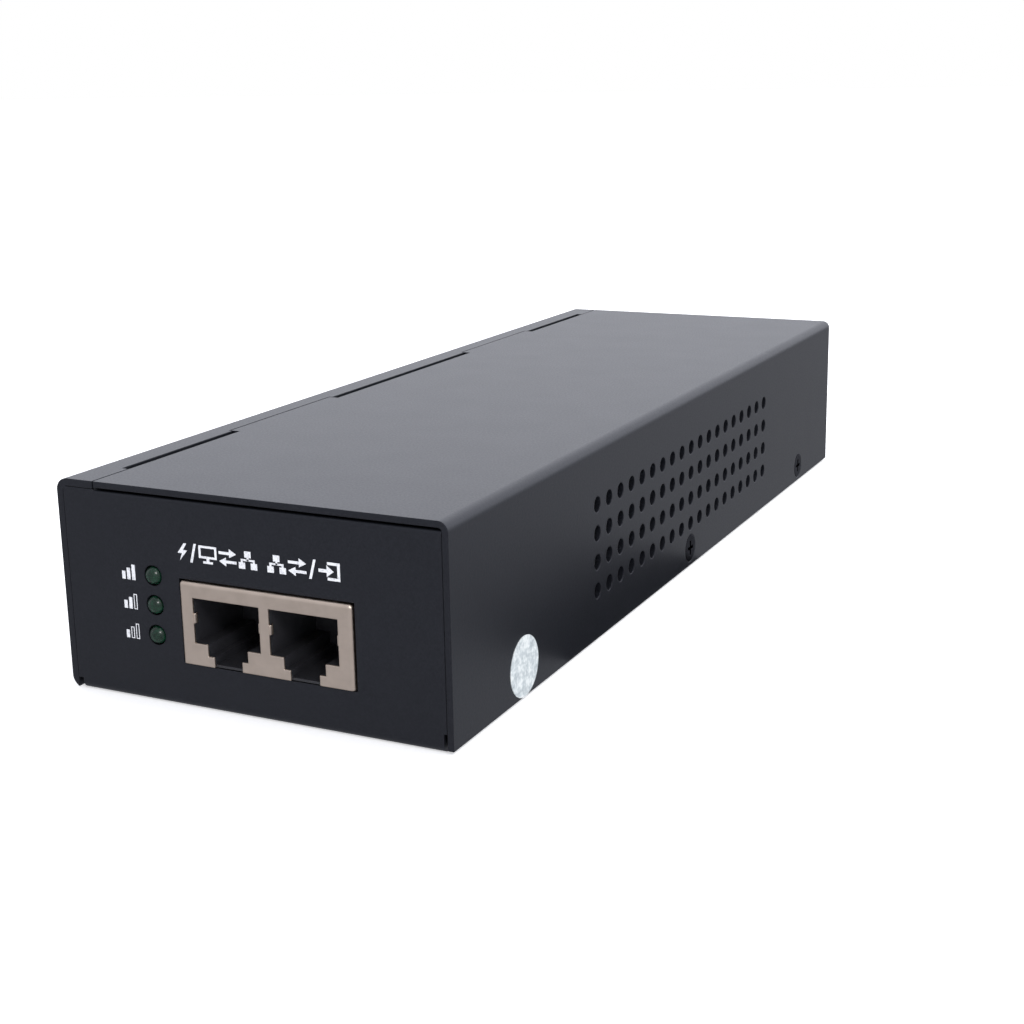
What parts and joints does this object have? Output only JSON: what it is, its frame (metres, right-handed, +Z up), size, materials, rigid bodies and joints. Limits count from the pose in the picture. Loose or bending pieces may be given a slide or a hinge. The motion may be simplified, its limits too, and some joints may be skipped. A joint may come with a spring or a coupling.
{
  "type": "poe injector",
  "caption": "Long folded sheet-metal power injector with a shielded twin network jack, stacked indicator lamps, side vents and a rear mains inlet",
  "frame": {"origin": "centre of the underside of the case, on the surface it stands on", "axes": "+X towards the vented side, +Y towards the mains inlet (the jack faces -Y), +Z up"},
  "size_m": [0.0701, 0.2034, 0.035],
  "materials": {
    "case_paint": "fine-textured powder coat",
    "black_screw": "black zinc plate",
    "zinc": "bright zinc plate",
    "seal_film": "mottled white film",
    "silver_label": "silver polyester, blank",
    "insulator_film": "black polyester film",
    "nickel_shield": "nickel plate",
    "black_moulding": "matt moulded",
    "gold_contact": "gold flash",
    "green_lens": "clear tinted",
    "tinned_lead": "tin plate",
    "brown_wire": "insulated wire",
    "blue_wire": "insulated wire",
    "green_wire": "green and yellow insulated wire",
    "blue_dip": "dipped epoxy",
    "black_dip": "dipped epoxy",
    "orange_dip": "dipped epoxy",
    "fuse_glass": "clear",
    "yellow_case": "moulded case",
    "ferrite": "ground ferrite",
    "copper_wire": "enamelled copper",
    "black_epoxy": "moulded epoxy",
    "black_sleeve": "shrink sleeve",
    "sink_aluminium": "extruded",
    "yellow_tape": "polyester tape",
    "green_sleeve": "shrink sleeve",
    "board_laminate": "green solder mask"
  },
  "bodies": {
    "chassis": {"base_chassis": "case_paint", "clinch_nuts": "zinc", "rating_label": "silver_label", "insulating_sheet": "insulator_film", "board_posts": "zinc", "board_screws": "zinc", "jack_shield": "nickel_shield", "jack_moulding": "black_moulding", "jack_contacts": "gold_contact", "lamp_low": "green_lens", "lamp_middle": "green_lens", "lamp_high": "green_lens", "lamp_tower": "black_moulding", "lamp_leads": "tinned_lead", "inlet_housing": "black_moulding", "live_blades": "tinned_lead", "earth_blade": "tinned_lead", "inlet_screws": "black_screw", "inlet_nuts": "zinc", "earth_stud": "zinc", "earth_terminal": "tinned_lead", "earth_nut": "zinc", "line_wire": "brown_wire", "neutral_wire": "blue_wire", "earth_wire": "green_wire", "varistor": "blue_dip", "thermistor": "black_dip", "safety_capacitors": "orange_dip", "fuse_tube": "fuse_glass", "fuse_caps": "tinned_lead", "fuse_clips": "tinned_lead", "film_capacitor": "yellow_case", "choke_core": "ferrite", "choke_windings": "copper_wire", "bridge_rectifier": "black_epoxy", "bulk_capacitor": "black_sleeve", "primary_heat_sink": "sink_aluminium", "output_heat_sink": "sink_aluminium", "switching_transistor": "black_epoxy", "output_diode": "black_epoxy", "device_screws": "zinc", "transformer_core": "ferrite", "transformer_former": "black_moulding", "transformer_winding": "yellow_tape", "transformer_pins": "tinned_lead", "output_capacitor_1": "green_sleeve", "output_capacitor_2": "green_sleeve", "output_capacitor_3": "green_sleeve", "output_choke_core": "ferrite", "output_choke_winding": "copper_wire", "power_controller": "black_epoxy", "supply_controller": "black_epoxy", "optocoupler": "black_epoxy", "lan_transformers": "black_epoxy", "filter_inductor": "ferrite", "surface_parts": "black_epoxy", "main_board": "board_laminate"},
    "cover": {"top_cover": "case_paint", "cover_screws": "black_screw", "seal_label": "seal_film"}
  },
  "joints": [
    {"name": "cover_slide", "type": "slide", "parent": "chassis", "child": "cover", "axis": [1, 0, 0], "range_m": [0, 0.08]}
  ]
}
